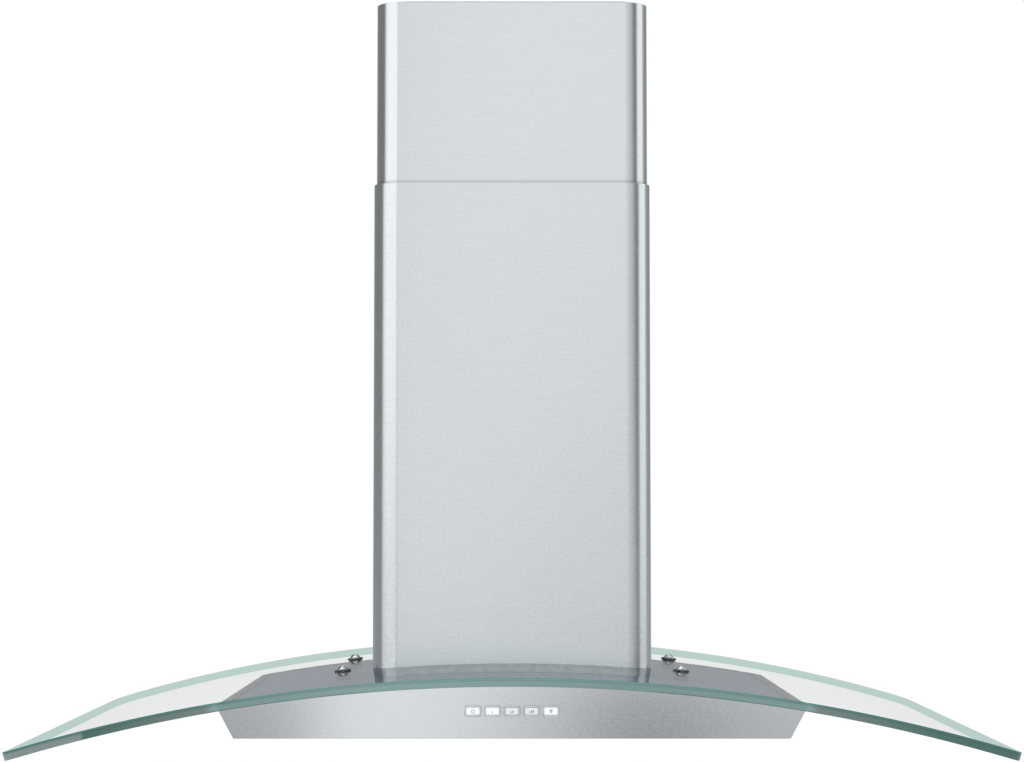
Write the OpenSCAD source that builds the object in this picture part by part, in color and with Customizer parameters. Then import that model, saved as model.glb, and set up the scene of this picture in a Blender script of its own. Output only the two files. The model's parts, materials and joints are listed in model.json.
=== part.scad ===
// Island range hood: a curved glass canopy on a slim steel body, under a two-part telescoping chimney.
// The origin is the middle of the ceiling bracket's top face, +Z is up and -Y is the side with the buttons.

/* [Glass canopy] */
// Width of the glass from end to end
glass_w = 908; // [900:1:916]
// Depth of the glass from front to back
glass_d = 610; // [560:5:640]
// Thickness of the glass
glass_t = 8; // [6:1:8]
// Radius of the curve that the top of the glass follows
glass_r = 1580; // [1500:10:1800]
// Radius of the glass's two front corners in plan
glass_front_r = 10; // [5:1:20]
// Radius of the glass's two back corners in plan
glass_back_r = 26; // [10:1:40]

/* [Chimney] */
// From the ceiling down to the middle of the glass
drop_h = 652; // [648:1:670]
// Width of the lower chimney cover
cover_w = 274; // [272:1:280]
// Depth of the lower chimney cover
cover_d = 224; // [222:1:230]
// Height of the lower cover above the middle of the glass
lower_cover_h = 471; // [466:1:475]
// Length of the upper cover, most of it inside the lower one
upper_cover_h = 399; // [390:1:402]
// Outside radius of the lower cover's four upright corners
cover_r = 26; // [24:1:27]
// Sheet thickness of both covers
cover_t = 1; // [0.8:0.1:1]
// Gap between the upper cover and the lower one
cover_gap = 1.5; // [1.5:0.1:1.8]

/* [Canopy body] */
// Width of the steel body where it meets the glass
body_top_w = 554; // [550:2:560]
// Width of the steel body at the bottom
body_bottom_w = 520; // [518:2:524]
// Depth of the steel body
body_d = 400; // [396:2:404]
// From the middle of the glass down to the underside of the body
body_h = 64; // [64:1:70]
// Sheet thickness of the body's panels
sheet_t = 1; // [0.8:0.1:1]

/* [Buttons] */
// Distance between the middles of two buttons
button_pitch = 18.2; // [18:0.2:20]
// Width of a button cap
button_w = 12.2; // [11:0.2:12.4]
// Height of a button cap
button_h = 6.3; // [6:0.1:6.6]
// How far a button travels
button_travel = 1.5; // [1:0.1:1.5]
// Below the middle of the glass, the middle of the buttons
button_drop = 38.5; // [37:0.5:39]

/* [Filters] */
// Width of one grease filter
filter_w = 184; // [180:1:185]
// Length of one grease filter, front to back
filter_l = 300; // [290:2:302]
// Thickness of a grease filter
filter_t = 9; // [9:1:10]

/* [Lamps] */
// Distance of each lamp from the middle, sideways
lamp_x = 224; // [223:1:225]
// Distance of each lamp from the middle, front to back
lamp_y = 130; // [120:2:150]
// Radius of a lamp's bezel
lamp_r = 31; // [29:1:31]

/* [Blower] */
// Radius of the blower wheel
wheel_r = 60; // [56:1:60]
// Width of the blower wheel
wheel_w = 96; // [80:2:96]
// Outside radius of the duct collar
collar_r = 74.5; // [70:0.5:74.5]
// Length of the duct collar
collar_h = 45; // [40:1:50]

/* [Hidden] */
$fn = 64;
arc_fn = 720;
mid_fn = 96;
edge = 0.01;
past = 1;

glass_z = -drop_h;
body_z = glass_z - body_h;
gasket_t = 1;
plate_t = 1.2;
plate_r = glass_r - glass_t - gasket_t;

// Ceiling bracket and the frame that hangs from it
bracket_t = 2;
bracket_w = 2 * 126;
bracket_corner_r = 22;
duct_hole_r = 88;
ceiling_bolt_x = 100;
ceiling_bolt_y = 80;
ceiling_bolt_r = 3.25;
cable_slot_r = 10;
gland_x = 100;
gland_y = -20;
upper_cover_w = cover_w - 2 * (cover_t + cover_gap);
upper_cover_d = cover_d - 2 * (cover_t + cover_gap);
upper_cover_r = cover_r - cover_t - cover_gap;
ceiling_gap = 1;
angle_leg = 20;
angle_t = 1.5;
angle_x = 125;
angle_y = 100;
angle_gap = 0.3;
upper_angle_end = -380;
lower_angle_top = -110;
slot_r = 3;
slot_top = -64;
slot_end = -366;
bolt_x = 113;
bolt_z = -160;
bolt_r = 2.5;
bolt_gap = 0.1;
nut_r = 4.4;
tab_x = 90;
tab_w = 20;
tab_h = 20;
tab_screw_z = -12;
small_screw_r = 1.5;
small_head_r = 3;

// Blower box
box_x = angle_x - angle_t - angle_gap - angle_t;
box_y = angle_y - angle_t - angle_gap - angle_t;
box_top = glass_z + 250;
box_foot = 30;
box_flange_x = 113;
box_flange_y = 89;
box_screw_r = 1.6;
box_screw_places = [[-117, 0], [117, 0], [-60, -92], [-60, 92], [60, -92], [60, 92]];
wheel_y = 18;
wheel_z = glass_z + 100;
casing_half = 55;
casing_gap = 14;
casing_t = 1.2;
throat_w = 86;
shaft_r = 4;
motor_r = 36;
lead_hole_r = 4;
lead_y = -52;

// Cut-out in the glass under the chimney, and the four studs that carry the body
cut_x = 127;
cut_y = 102;
stud_x = 166;
stud_y = 90;
cut_r = 12;
stud_r = 3;
stud_gap = 0.1;
bush_r = 6.6;
washer_t = 1.8;
nut_h = 4;

// Duct collar and its damper
collar_t = 1.2;
damper_z = box_top + 22;
damper_rod_r = 1.5;
flap_r = 72.5;
flap_t = 0.8;

// Wiring box on top of the blower box
wiring_w = 28;
wiring_l = 60;
wiring_h = 32;
wiring_t = 1.5;
gland_r = 6;
gland_bore_r = 4;

// Foot of the lower cover
foot_z = glass_z - 1;

// How far the body's ends lean out for each millimetre up, so that they meet the glass at body_top_w
side_sag = glass_r - sqrt(glass_r * glass_r - body_top_w * body_top_w / 4);
body_lean = (body_top_w - body_bottom_w) / 2 / (body_h - side_sag - glass_t);

// Buttons sit in a moulded holder behind the front panel
front_y = -body_d / 2;
button_z = glass_z - button_drop;
rim_w = 15.2;
rim_h = 10;
rim_cut = 1.6;
rim_front = 1;
cap_front = 2;
cap_gap = 0.3;
holder_back = 11.5;
holder_w = 124;
holder_h = 16;
flange_front = 3;
board_y = front_y + 12.5;
board_t = 1.6;
board_h = 22;
board_screw_x = 55;
switch_h = 3.4;
plug_x = 46;
plug_z = -6;
plug_h = 8;

// Filters
filter_x = 97;
filter_z = body_z + sheet_t / 2;
opening_gap = 1;
channel = 3;
channel_t = 2;
pivot_y = filter_l / 2 - 6;
pivot_z = filter_z + filter_t / 2;
pivot_r = 2;
running_gap = 0.05;
latch_w = 40;
latch_l = 21;
latch_t = 2;
latch_travel = 6;
latch_tip = 0.7;
front_bar = 26;
side_bar = 10;

// Lamps
lamp_hole_r = 27;
lamp_inner_r = 25;
lamp_proud = 1.5;
lens_t = 2;

// ---------- shared shapes ----------

// A rectangle with round corners, centred
module rounded_rect(w, d, r) {
    square([w - 2 * r, d], center = true);
    square([w, d - 2 * r], center = true);
    for (x = [-1, 1], y = [-1, 1]) translate([x * (w / 2 - r), y * (d / 2 - r)]) circle(r = r);
}

// A rectangle with its corners cut at 45 degrees, centred
module cut_rect(w, h, c) {
    x = w / 2;
    y = h / 2;
    polygon([
        [-x, c - y], [c - x, -y], [x - c, -y], [x, c - y],
        [x, y - c], [x - c, y], [c - x, y], [-x, y - c]
    ]);
}

// An outline drawn in X and Z, carried from y0 to y1
module along_y(y0, y1) {
    translate([0, y1, 0]) rotate([90, 0, 0]) linear_extrude(y1 - y0) children();
}

// An outline drawn in Y and Z, carried from x0 to x1
module along_x(x0, x1) {
    translate([x0, 0, 0]) rotate([90, 0, 90]) linear_extrude(x1 - x0) children();
}

module rod_x(x0, x1, r) {
    translate([x0, 0, 0]) rotate([0, 90, 0]) cylinder(r = r, h = x1 - x0);
}

module rod_y(y0, y1, r) {
    translate([0, y1, 0]) rotate([90, 0, 0]) cylinder(r = r, h = y1 - y0);
}

// The long round bar, lying front to back, whose surface the curved sheets follow
module arc_bar(r) {
    translate([0, glass_d / 2 + past, glass_z - glass_r])
        rotate([90, 0, 0]) cylinder(r = r, h = glass_d + 2 * past, $fn = arc_fn);
}

// A curved sheet between two radii, cut out of an upright block whose plan is the child
module arc_sheet(r, t) {
    difference() {
        intersection() {
            translate([0, 0, glass_z - 120]) linear_extrude(160) children();
            arc_bar(r);
        }
        arc_bar(r - t);
    }
}

// A place on top of the glass, square to its surface
module on_glass(x, y) {
    translate([0, y, glass_z - glass_r]) rotate([0, asin(x / glass_r), 0])
        translate([0, 0, glass_r]) children();
}

module at_corners(x, y) {
    for (sx = [-1, 1], sy = [-1, 1]) translate([sx * x, sy * y, 0]) children();
}

module in_each_corner() {
    for (sx = [0, 1], sy = [0, 1]) mirror([sx, 0, 0]) mirror([0, sy, 0]) children();
}

module on_each_side() {
    for (sx = [0, 1]) mirror([sx, 0, 0]) children();
}

module at_studs() {
    for (x = [-stud_x, stud_x], y = [-stud_y, stud_y]) on_glass(x, y) children();
}

module at_box_screws() {
    for (place = box_screw_places) on_glass(place[0], place[1]) children();
}

module at_buttons() {
    for (i = [-2:2]) translate([i * button_pitch, 0, 0]) children();
}

// A drill hole square to the glass, through every sheet under it
module stud_hole(r) {
    translate([0, 0, -20]) cylinder(r = r, h = 30);
}

// ---------- ceiling section ----------

module ceiling_bracket() {
    tab_y = upper_cover_d / 2 - cover_t - angle_gap;
    through = bracket_t + 2 * past;
    color("gainsboro") {
        difference() {
            translate([0, 0, -bracket_t]) linear_extrude(bracket_t)
                rounded_rect(bracket_w, 2 * tab_y, bracket_corner_r);
            translate([0, 0, -bracket_t - past]) {
                cylinder(r = duct_hole_r, h = through, $fn = mid_fn);
                at_corners(ceiling_bolt_x, ceiling_bolt_y) cylinder(r = ceiling_bolt_r, h = through);
                hull() for (x = [gland_x - 2 * cable_slot_r, gland_x])
                    translate([x, gland_y, 0]) cylinder(r = cable_slot_r, h = through);
            }
        }
        for (x = [-tab_x, tab_x]) difference() {
            translate([x - tab_w / 2, tab_y - bracket_t, -tab_h]) cube([tab_w, bracket_t, tab_h - edge]);
            translate([x, 0, tab_screw_z]) rod_y(tab_y - 5, tab_y + 5, small_screw_r);
        }
    }
}

module angle_bar(x, y, z0, z1) {
    difference() {
        translate([x - angle_leg, y - angle_leg, z0]) cube([angle_leg, angle_leg, z1 - z0]);
        translate([x - angle_leg - past, y - angle_leg - past, z0 - past])
            cube([angle_leg - angle_t + past, angle_leg - angle_t + past, z1 - z0 + 2 * past]);
    }
}

module upper_angles() {
    color("silver") in_each_corner() difference() {
        angle_bar(angle_x, angle_y, upper_angle_end, -bracket_t);
        for (z = [slot_top, slot_end]) translate([bolt_x, 0, z]) rod_y(angle_y - 5, angle_y + 5, slot_r);
        translate([bolt_x - slot_r, angle_y - 5, slot_end]) cube([2 * slot_r, 10, slot_top - slot_end]);
    }
}

module cover_tube(w, d, r, z0, z1) {
    translate([0, 0, z0]) linear_extrude(z1 - z0) difference() {
        rounded_rect(w, d, r);
        rounded_rect(w - 2 * cover_t, d - 2 * cover_t, r - cover_t);
    }
}

module upper_cover() {
    color([0.76, 0.78, 0.79]) difference() {
        cover_tube(upper_cover_w, upper_cover_d, upper_cover_r, -ceiling_gap - upper_cover_h, -ceiling_gap);
        for (x = [-tab_x, tab_x]) translate([x, 0, tab_screw_z])
            rod_y(upper_cover_d / 2 - 5, upper_cover_d / 2 + 5, small_screw_r + 0.1);
    }
}

module upper_cover_screws() {
    y = upper_cover_d / 2;
    head_t = 1.4;
    color("silver") for (x = [-tab_x, tab_x]) translate([x, 0, tab_screw_z]) {
        rod_y(y - 8, y + 1, small_screw_r);
        translate([0, y + head_t, 0]) rotate([90, 0, 0]) cylinder(r1 = 2.2, r2 = small_head_r, h = head_t);
    }
}

// ---------- hood frame ----------

module lower_angles() {
    shift = angle_t + angle_gap;
    color("silver") in_each_corner() difference() {
        angle_bar(angle_x - shift, angle_y - shift, glass_z - box_foot, lower_angle_top);
        arc_bar(plate_r + edge);
        translate([bolt_x, 0, bolt_z]) rod_y(angle_y - 8, angle_y + 5, bolt_r + bolt_gap);
    }
}

module frame_bolts() {
    color("gray") in_each_corner() translate([bolt_x, 0, bolt_z]) difference() {
        union() {
            rod_y(angle_y - 14, angle_y + 1, bolt_r);
            rod_y(angle_y + angle_gap, angle_y + 3.5, 4.5);
        }
        translate([0, angle_y + 4.5, 0]) rotate([90, 0, 0]) cylinder(r = 2.4, h = 3, $fn = 6);
    }
}

module frame_nuts() {
    inside = angle_y - 2 * angle_t - angle_gap;
    color("gray") in_each_corner() translate([bolt_x, 0, bolt_z]) difference() {
        translate([0, inside, 0]) rotate([90, 0, 0]) cylinder(r = nut_r, h = nut_h, $fn = 6);
        rod_y(inside - 6, inside + past, bolt_r + 0.05);
    }
}

module blower_box() {
    h = box_top - glass_z + box_foot;
    color("lightgray") difference() {
        union() {
            difference() {
                translate([-box_x, -box_y, glass_z - box_foot]) cube([2 * box_x, 2 * box_y, h]);
                translate([sheet_t - box_x, sheet_t - box_y, glass_z - box_foot - past])
                    cube([2 * (box_x - sheet_t), 2 * (box_y - sheet_t), h + past - sheet_t]);
            }
            arc_sheet(plate_r + plate_t, 2 * plate_t) difference() {
                square([2 * box_x, 2 * box_y], center = true);
                square([2 * box_flange_x, 2 * box_flange_y], center = true);
            }
        }
        arc_bar(plate_r + edge);
        translate([0, 0, box_top - 5]) cylinder(r = collar_r - collar_t, h = 10, $fn = mid_fn);
        translate([gland_x, lead_y, box_top - 5]) cylinder(r = lead_hole_r, h = 10);
        at_box_screws() stud_hole(box_screw_r + 0.2);
    }
}

module box_screws() {
    seat = plate_t - glass_t - gasket_t;
    thread = 8;
    color("silver") at_box_screws() {
        translate([0, 0, seat - thread]) cylinder(r = box_screw_r, h = thread);
        translate([0, 0, seat + edge]) cylinder(r1 = small_head_r, r2 = 2.4, h = 1.8);
    }
}

// Outline of the scroll, in Y and Z: a round volute and the straight throat up to the collar
module scroll_outline(inset) {
    scroll_r = wheel_r + casing_gap - inset;
    translate([wheel_y, wheel_z]) circle(r = scroll_r, $fn = mid_fn);
    translate([wheel_y - scroll_r, wheel_z])
        square([throat_w - 2 * inset, box_top - sheet_t - wheel_z - edge]);
}

module scroll_housing() {
    inner_half = casing_half - casing_t;
    color("darkgray") difference() {
        along_x(-casing_half, casing_half) scroll_outline(0);
        along_x(-inner_half, inner_half) scroll_outline(casing_t);
        translate([0, wheel_y, wheel_z]) rod_x(-casing_half - past, casing_half + past, wheel_r - 8);
        translate([-inner_half, wheel_y - wheel_r - casing_gap + casing_t, box_top - 10])
            cube([2 * inner_half, throat_w - 2 * casing_t, 20]);
    }
}

module motor() {
    back = -56;
    front = -12;
    color("slategray") translate([0, wheel_y, wheel_z]) difference() {
        union() {
            rod_x(back, front, motor_r);
            rod_x(front, front + 4, 14);
        }
        rod_x(back + 6, front + 5, shaft_r + running_gap);
        for (a = [0:30:330]) rotate([a, 0, 0]) translate([0, motor_r - 4, 0])
            rod_x(back + 6, front + past, 1.4);
    }
}

module motor_bracket() {
    reach = 62;
    arm_w = 12;
    arm_t = 2;
    color("gray") translate([-58, wheel_y, wheel_z]) {
        rod_x(0, arm_t, 30);
        for (a = [90, 210, 330]) rotate([a, 0, 0]) difference() {
            union() {
                translate([0, 0, -arm_w / 2]) cube([arm_t, reach, arm_w]);
                translate([arm_t - edge, reach - 6, -arm_w / 2]) cube([1, 6, arm_w]);
            }
            translate([0, reach - 3.5, 0]) rod_x(-past, 2 * arm_t, small_screw_r);
        }
    }
}

module capacitor() {
    can_r = 15;
    can_h = 48;
    color("whitesmoke") translate([sheet_t + can_r - box_x, -70, glass_z + 60]) {
        cylinder(r = can_r, h = can_h);
        translate([0, 0, can_h - edge]) cylinder(r = can_r - 3, h = 3);
        for (y = [-5, 5]) translate([-0.4, y - 3, can_h + 2]) cube([0.8, 6, 9]);
    }
}

module motor_shaft() {
    color("silver") translate([0, wheel_y, wheel_z]) rod_x(-48, 16, shaft_r);
}

module blower_wheel() {
    blades = 36;
    ring_w = 10;
    ring_t = 2;
    color("dimgray") translate([0, wheel_y, wheel_z]) {
        difference() {
            union() {
                rod_x(-0.8, 0.8, wheel_r);
                rod_x(-5, 13, 10);
            }
            rod_x(-6, 14, shaft_r);
        }
        for (x = [-wheel_w / 2, wheel_w / 2 - ring_t]) difference() {
            rod_x(x, x + ring_t, wheel_r);
            rod_x(x - past, x + ring_t + past, wheel_r - ring_w);
        }
        for (i = [0:blades - 1]) rotate([i * 360 / blades, 0, 0])
            translate([1 - wheel_w / 2, wheel_r - ring_w + 0.5, 0]) rotate([30, 0, 0])
                cube([wheel_w - 2, ring_w - 0.6, 0.9]);
    }
}

// ---------- duct collar and damper ----------

module duct_collar() {
    ledge = 3.3;
    ledge_t = 1;
    flange = 9.5;
    flange_t = 1.5;
    inner_r = collar_r - collar_t;
    color([0.2, 0.2, 0.21]) difference() {
        union() {
            translate([0, 0, box_top]) difference() {
                union() {
                    cylinder(r = collar_r + flange, h = flange_t, $fn = mid_fn);
                    cylinder(r = collar_r, h = collar_h + flange_t, $fn = mid_fn);
                }
                translate([0, 0, -past]) cylinder(r = inner_r, h = 2 * collar_h, $fn = mid_fn);
            }
            translate([0, 0, damper_z - 1.5]) difference() {
                cylinder(r = inner_r + 0.5, h = ledge_t, $fn = mid_fn);
                translate([0, 0, -past]) {
                    cylinder(r = inner_r - ledge, h = ledge_t + 2 * past, $fn = mid_fn);
                    translate([-collar_r, -6, 0]) cube([2 * collar_r, 12, ledge_t + 2 * past]);
                }
            }
        }
        translate([0, 0, damper_z]) rod_x(-collar_r - past, collar_r + past, damper_rod_r);
    }
}

module damper_rod() {
    color("silver") translate([0, 0, damper_z]) rod_x(-collar_r, collar_r, damper_rod_r);
}

// One half-round flap with two knuckles on the rod; the other flap is the same, turned half round
module damper_flap() {
    knuckle = 26;
    knuckle_r = 2.8;
    color([0.25, 0.25, 0.26]) translate([0, 0, damper_z]) difference() {
        union() {
            intersection() {
                translate([0, 0, -flap_t / 2]) cylinder(r = flap_r, h = flap_t, $fn = mid_fn);
                translate([-flap_r, 3.4, -past]) cube([2 * flap_r, flap_r, 2 * past]);
            }
            for (x = [-60, 4]) {
                translate([x, 0, -flap_t / 2]) cube([knuckle, 4, flap_t]);
                rod_x(x, x + knuckle, knuckle_r);
            }
        }
        rod_x(-flap_r, flap_r, damper_rod_r + running_gap);
    }
}

module damper_flap_back() {
    damper_flap();
}

module damper_flap_front() {
    rotate([0, 0, 180]) damper_flap();
}

// ---------- wiring ----------

module wiring_box() {
    inner_w = wiring_w - 2 * wiring_t;
    inner_l = wiring_l - 2 * wiring_t;
    color([0.85, 0.86, 0.86]) translate([gland_x, gland_y - 10, box_top]) difference() {
        translate([-wiring_w / 2, -wiring_l / 2, 0]) cube([wiring_w, wiring_l, wiring_h]);
        translate([-inner_w / 2, -inner_l / 2, wiring_t]) cube([inner_w, inner_l, wiring_h]);
        translate([0, lead_y - gland_y + 10, -past]) cylinder(r = lead_hole_r, h = 5);
    }
}

module wiring_lid() {
    color([0.85, 0.86, 0.86]) translate([gland_x, gland_y, box_top + wiring_h]) difference() {
        translate([-wiring_w / 2, -wiring_l / 2 - 10, 0]) cube([wiring_w, wiring_l, wiring_t]);
        translate([0, 0, -past]) cylinder(r = gland_r + edge, h = 4);
    }
}

module cable_gland() {
    thread = 6;
    color([0.12, 0.12, 0.13]) translate([gland_x, gland_y, box_top + wiring_h]) difference() {
        union() {
            translate([0, 0, -thread]) cylinder(r = gland_r, h = thread + 2);
            translate([0, 0, wiring_t + edge]) cylinder(r = gland_r + 3, h = 5, $fn = 6);
            translate([0, 0, thread]) cylinder(r1 = gland_r + 2, r2 = gland_r, h = 10);
        }
        translate([0, 0, -thread - past]) cylinder(r = gland_bore_r, h = 30);
    }
}

// ---------- lower cover ----------

module lower_cover() {
    color([0.76, 0.78, 0.79]) difference() {
        cover_tube(cover_w, cover_d, cover_r, glass_z - 12, glass_z + lower_cover_h);
        arc_bar(glass_r + 0.2);
        translate([0, 0, foot_z]) rod_x(-cover_w / 2 - past, cover_w / 2 + past, small_screw_r + 0.1);
    }
}

// Small folded brackets between the blower box and the foot of the lower cover
module cover_brackets() {
    inner = cover_w / 2 - cover_t;
    bracket_l = 26;
    sheet = 1.5;
    color("silver") on_each_side() difference() {
        union() {
            translate([box_x, -bracket_l / 2, glass_z + 2]) cube([inner - box_x, bracket_l, sheet]);
            translate([inner - sheet, -bracket_l / 2, glass_z - 4.8]) cube([sheet, bracket_l, 8.3]);
        }
        translate([0, 0, foot_z]) rod_x(box_x, cover_w / 2, small_screw_r);
    }
}

module lower_cover_screws() {
    outer = cover_w / 2;
    color([0.2, 0.2, 0.2]) on_each_side() translate([0, 0, foot_z]) {
        rod_x(outer - 7, outer + 1, small_screw_r);
        translate([outer + edge, 0, 0]) rotate([0, 90, 0]) cylinder(r1 = small_head_r, r2 = 2.2, h = 2);
    }
}

// ---------- glass ----------

module glass_plan() {
    x = glass_w / 2;
    y = glass_d / 2;
    hull() for (side = [-1, 1]) {
        translate([side * (x - glass_front_r), glass_front_r - y]) circle(r = glass_front_r);
        translate([side * (x - glass_back_r), y - glass_back_r]) circle(r = glass_back_r);
    }
}

module glass_canopy() {
    color([0.72, 0.86, 0.82, 0.45]) difference() {
        arc_sheet(glass_r, glass_t) difference() {
            glass_plan();
            rounded_rect(2 * cut_x, 2 * cut_y, cut_r);
        }
        at_studs() stud_hole(bush_r + 0.2);
    }
}

// A soft strip between the glass and the top plate, just inside the body's edge
module glass_gasket() {
    strip = 8;
    w = body_top_w - 14;
    d = body_d - 8;
    color([0.1, 0.1, 0.1]) arc_sheet(glass_r - glass_t, gasket_t) difference() {
        square([w, d], center = true);
        square([w - 2 * strip, d - 2 * strip], center = true);
    }
}

module glass_bushes() {
    color([0.9, 0.9, 0.88]) at_studs() translate([0, 0, -glass_t]) difference() {
        cylinder(r = bush_r, h = glass_t - 0.1);
        translate([0, 0, -past]) cylinder(r = stud_r + stud_gap, h = glass_t + 2 * past);
    }
}

// Six-lobed washer under each glass screw
module glass_washers() {
    lobe_r = 2.5;
    lobe_reach = 5.6;
    color([0.55, 0.56, 0.57]) at_studs() difference() {
        union() {
            cylinder(r = bush_r, h = washer_t);
            for (a = [0:60:300]) rotate([0, 0, a]) translate([lobe_reach, 0, 0])
                cylinder(r = lobe_r, h = washer_t, $fn = 32);
        }
        translate([0, 0, -past]) cylinder(r = stud_r + stud_gap, h = 4);
    }
}

module glass_screws() {
    dome_r = 5.5;
    dome_h = 4;
    ball_r = (dome_r * dome_r + dome_h * dome_h) / (2 * dome_h);
    under = 10;
    color([0.7, 0.71, 0.72]) at_studs() {
        translate([0, 0, -glass_t - under]) cylinder(r = stud_r, h = glass_t + under + 2);
        intersection() {
            translate([0, 0, washer_t + dome_h - ball_r]) sphere(r = ball_r);
            translate([0, 0, washer_t]) cylinder(r = dome_r, h = dome_h + past);
        }
    }
}

module glass_nuts() {
    color("gray") at_studs() translate([0, 0, -glass_t - gasket_t - plate_t - nut_h]) difference() {
        cylinder(r = nut_r + 1.4, h = nut_h - edge, $fn = 6);
        translate([0, 0, -past]) cylinder(r = stud_r + 0.05, h = nut_h + 2 * past);
    }
}

// ---------- canopy body ----------

// Outline of the body seen from the front, in X and Z, with straight sides that lean in towards the bottom
module body_outline(inset) {
    bottom = body_bottom_w / 2 - inset;
    top = bottom + body_lean * body_h;
    polygon([[-bottom, body_z], [bottom, body_z], [top, glass_z], [-top, glass_z]]);
}

module top_plate() {
    color([0.55, 0.56, 0.58]) difference() {
        arc_sheet(plate_r, plate_t) difference() {
            square([body_top_w, body_d - 2 * sheet_t], center = true);
            square([2 * box_flange_x, 2 * box_flange_y], center = true);
        }
        at_studs() stud_hole(stud_r + stud_gap);
        at_box_screws() stud_hole(box_screw_r + 0.2);
    }
}

module upright_panel(y0, y1) {
    intersection() {
        along_y(y0, y1) body_outline(0);
        arc_bar(glass_r - glass_t - 0.3);
    }
}

module front_panel() {
    color([0.72, 0.73, 0.74]) difference() {
        upright_panel(front_y, front_y + sheet_t);
        translate([0, 0, button_z]) at_buttons()
            along_y(front_y - past, front_y + sheet_t + past) cut_rect(rim_w + 0.2, rim_h + 0.2, rim_cut);
    }
}

module back_panel() {
    color([0.72, 0.73, 0.74]) upright_panel(-front_y - sheet_t, -front_y);
}

module end_panel() {
    color([0.68, 0.69, 0.7]) intersection() {
        along_y(front_y + sheet_t, -front_y - sheet_t) difference() {
            body_outline(0);
            body_outline(sheet_t);
            translate([-body_top_w, body_z - past]) square([body_top_w, 2 * body_h]);
        }
        arc_bar(plate_r - plate_t - edge);
    }
}

module end_panel_right() {
    end_panel();
}

module end_panel_left() {
    mirror([1, 0, 0]) end_panel();
}

module bottom_panel() {
    hole_w = filter_w + 2 * opening_gap;
    hole_l = filter_l + 2 * opening_gap;
    through = sheet_t + 2 * past;
    color([0.72, 0.73, 0.74]) difference() {
        along_y(front_y + sheet_t, -front_y - sheet_t) intersection() {
            body_outline(sheet_t + edge);
            translate([-body_top_w / 2, body_z]) square([body_top_w, sheet_t]);
        }
        for (x = [-filter_x, filter_x]) translate([x - hole_w / 2, -hole_l / 2, body_z - past])
            cube([hole_w, hole_l, through]);
        at_corners(lamp_x, lamp_y) translate([0, 0, body_z - past])
            cylinder(r = lamp_hole_r + 0.2, h = through);
    }
}

// ---------- controls ----------

module button_holder() {
    behind = front_y + holder_back + past;
    color([0.8, 0.8, 0.8]) translate([0, 0, button_z]) difference() {
        union() {
            at_buttons() along_y(front_y - rim_front, front_y + flange_front)
                cut_rect(rim_w, rim_h, rim_cut);
            translate([-holder_w / 2, front_y + sheet_t, -holder_h / 2])
                cube([holder_w, holder_back - sheet_t, holder_h]);
        }
        at_buttons() {
            along_y(front_y - rim_front - past, behind)
                square([button_w + 2 * cap_gap, button_h + 2 * cap_gap], center = true);
            along_y(front_y + flange_front, behind)
                square([button_w + 2 + 2 * cap_gap, button_h + 2 + 2 * cap_gap], center = true);
        }
        for (x = [-board_screw_x, board_screw_x]) translate([x, 0, 0]) rod_y(front_y + 4, behind, 1.3);
    }
}

module button(i) {
    x = (i - 3) * button_pitch;
    cap_back = board_y - switch_h - button_travel - 0.1;
    color([0.95, 0.95, 0.94]) translate([x, 0, button_z]) {
        along_y(front_y - cap_front, cap_back) square([button_w, button_h], center = true);
        along_y(front_y + flange_front, front_y + flange_front + 1)
            square([button_w + 2, button_h + 2], center = true);
    }
}

// Circuit board with one small switch behind each button and a plug at its end
module control_board() {
    back = board_y + board_t;
    plug_w = 12;
    chip = 9;
    color([0.1, 0.35, 0.2]) translate([0, 0, button_z]) difference() {
        union() {
            translate([-holder_w / 2, board_y, -board_h / 2]) cube([holder_w, board_t, board_h]);
            at_buttons() {
                along_y(board_y - switch_h + 0.4, board_y + edge) square([6, 6], center = true);
                rod_y(board_y - switch_h, board_y - 2, 1.7);
            }
            translate([plug_x - plug_w / 2, back - edge, plug_z - plug_h / 2])
                cube([plug_w, plug_h, plug_h]);
            for (x = [-40, -20, 0, 20]) translate([x, back - edge, plug_z]) cube([chip, 2, chip]);
        }
        for (x = [-board_screw_x, board_screw_x]) translate([x, 0, 0])
            rod_y(board_y - past, back + past, small_screw_r);
    }
}

module board_screws() {
    back = board_y + board_t + edge;
    color("silver") for (x = [-board_screw_x, board_screw_x]) translate([x, 0, button_z]) {
        rod_y(front_y + 6, back + past, 1.25);
        rod_y(back, back + 1.8, 2.6);
    }
}

// Round tube that follows a list of points, with one ring of corners at each point
module tube_along(points, r, sides) {
    n = len(points);
    function tangent(i) = points[min(i + 1, n - 1)] - points[max(i - 1, 0)];
    function unit(v) = v / norm(v);
    corners = [
        for (i = [0:n - 1])
            let (t = unit(tangent(i)), a = unit(cross(t, [1, 0.2, 0.1])), b = cross(t, a))
            for (k = [0:sides - 1])
                points[i] + r * (cos(360 * k / sides) * a + sin(360 * k / sides) * b)
    ];
    walls = [
        for (i = [0:n - 2], k = [0:sides - 1])
            let (row = i * sides, next = (k + 1) % sides)
            [row + k, row + sides + k, row + sides + next, row + next]
    ];
    start = [for (k = [0:sides - 1]) k];
    end = [for (k = [sides - 1:-1:0]) (n - 1) * sides + k];
    polyhedron(corners, concat([start], walls, [end]));
}

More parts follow.
